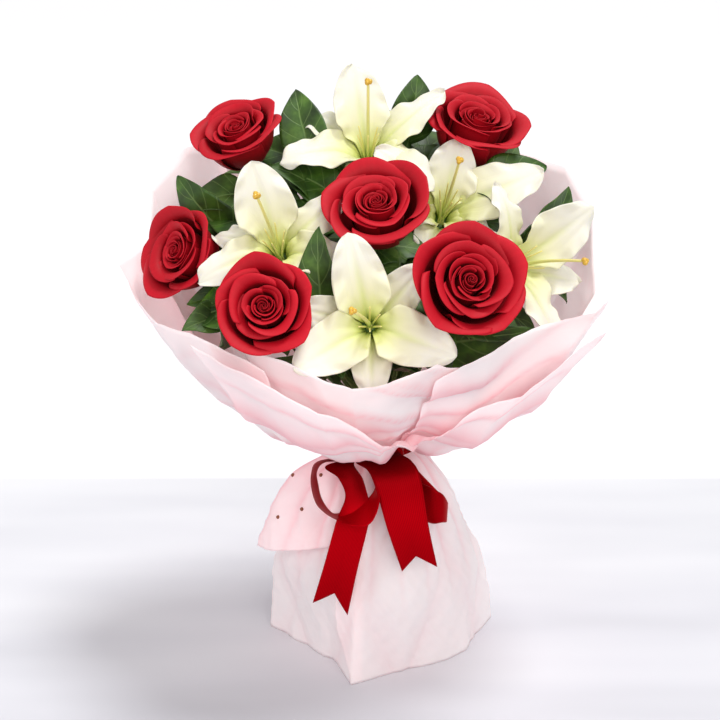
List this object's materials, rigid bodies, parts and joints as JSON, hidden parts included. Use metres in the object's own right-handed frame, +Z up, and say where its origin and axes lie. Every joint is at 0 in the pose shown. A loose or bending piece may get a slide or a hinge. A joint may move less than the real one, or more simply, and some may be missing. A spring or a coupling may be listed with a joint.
{
  "type": "mixed flower bouquet",
  "caption": "Hand-tied bouquet of red roses, white lilies and broad leaves in a pale pink paper wrap with a red satin bow, standing upright on its wrapped water-bag base.",
  "frame": {"origin": "centre of the bounding box in X and Y, at the flat bottom that the bouquet stands on", "axes": "+Z up, -Y towards the viewer of the picture (the side with the bow), +X to that viewer's right"},
  "size_m": [0.4326, 0.314, 0.5211],
  "materials": {
    "rose_petal": "matte",
    "lily_petal": "satin",
    "lily_pistil": "satin",
    "flower_stem": "satin",
    "leaf": "satin",
    "wrap_paper": "matte",
    "satin_ribbon": "satin",
    "twine": "matte",
    "water_in_film": "gloss"
  },
  "bodies": {
    "root": {"binding_twine": "twine", "leaf_stem_1": "leaf", "leaf_stem_2": "leaf", "leaf_stem_3": "leaf", "leaf_stem_4": "leaf", "leaf_stem_5": "leaf", "leaf_stem_6": "leaf", "leaf_stem_7": "leaf", "leaf_stem_8": "leaf", "lily_1_bloom": "lily_petal", "lily_1_pistil": "lily_pistil", "lily_1_stem": "flower_stem", "lily_2_bloom": "lily_petal", "lily_2_pistil": "lily_pistil", "lily_2_stem": "flower_stem", "lily_3_bloom": "lily_petal", "lily_3_pistil": "lily_pistil", "lily_3_stem": "flower_stem", "lily_4_bloom": "lily_petal", "lily_4_pistil": "lily_pistil", "lily_4_stem": "flower_stem", "lily_5_bloom": "lily_petal", "lily_5_pistil": "lily_pistil", "lily_5_stem": "flower_stem", "ribbon_band": "satin_ribbon", "ribbon_bow": "satin_ribbon", "rose_1_bloom": "rose_petal", "rose_1_stem": "flower_stem", "rose_2_bloom": "rose_petal", "rose_2_stem": "flower_stem", "rose_3_bloom": "rose_petal", "rose_3_stem": "flower_stem", "rose_4_bloom": "rose_petal", "rose_4_stem": "flower_stem", "rose_5_bloom": "rose_petal", "rose_5_stem": "flower_stem", "rose_6_bloom": "rose_petal", "rose_6_stem": "flower_stem", "skirt_flap": "wrap_paper", "skirt_left": "wrap_paper", "skirt_right": "wrap_paper", "water_bag": "water_in_film", "wrap_back": "wrap_paper", "wrap_back_left": "wrap_paper", "wrap_back_right": "wrap_paper", "wrap_front_inner": "wrap_paper", "wrap_front_left": "wrap_paper", "wrap_front_right": "wrap_paper", "wrap_left": "wrap_paper", "wrap_right": "wrap_paper"}
  },
  "joints": []
}
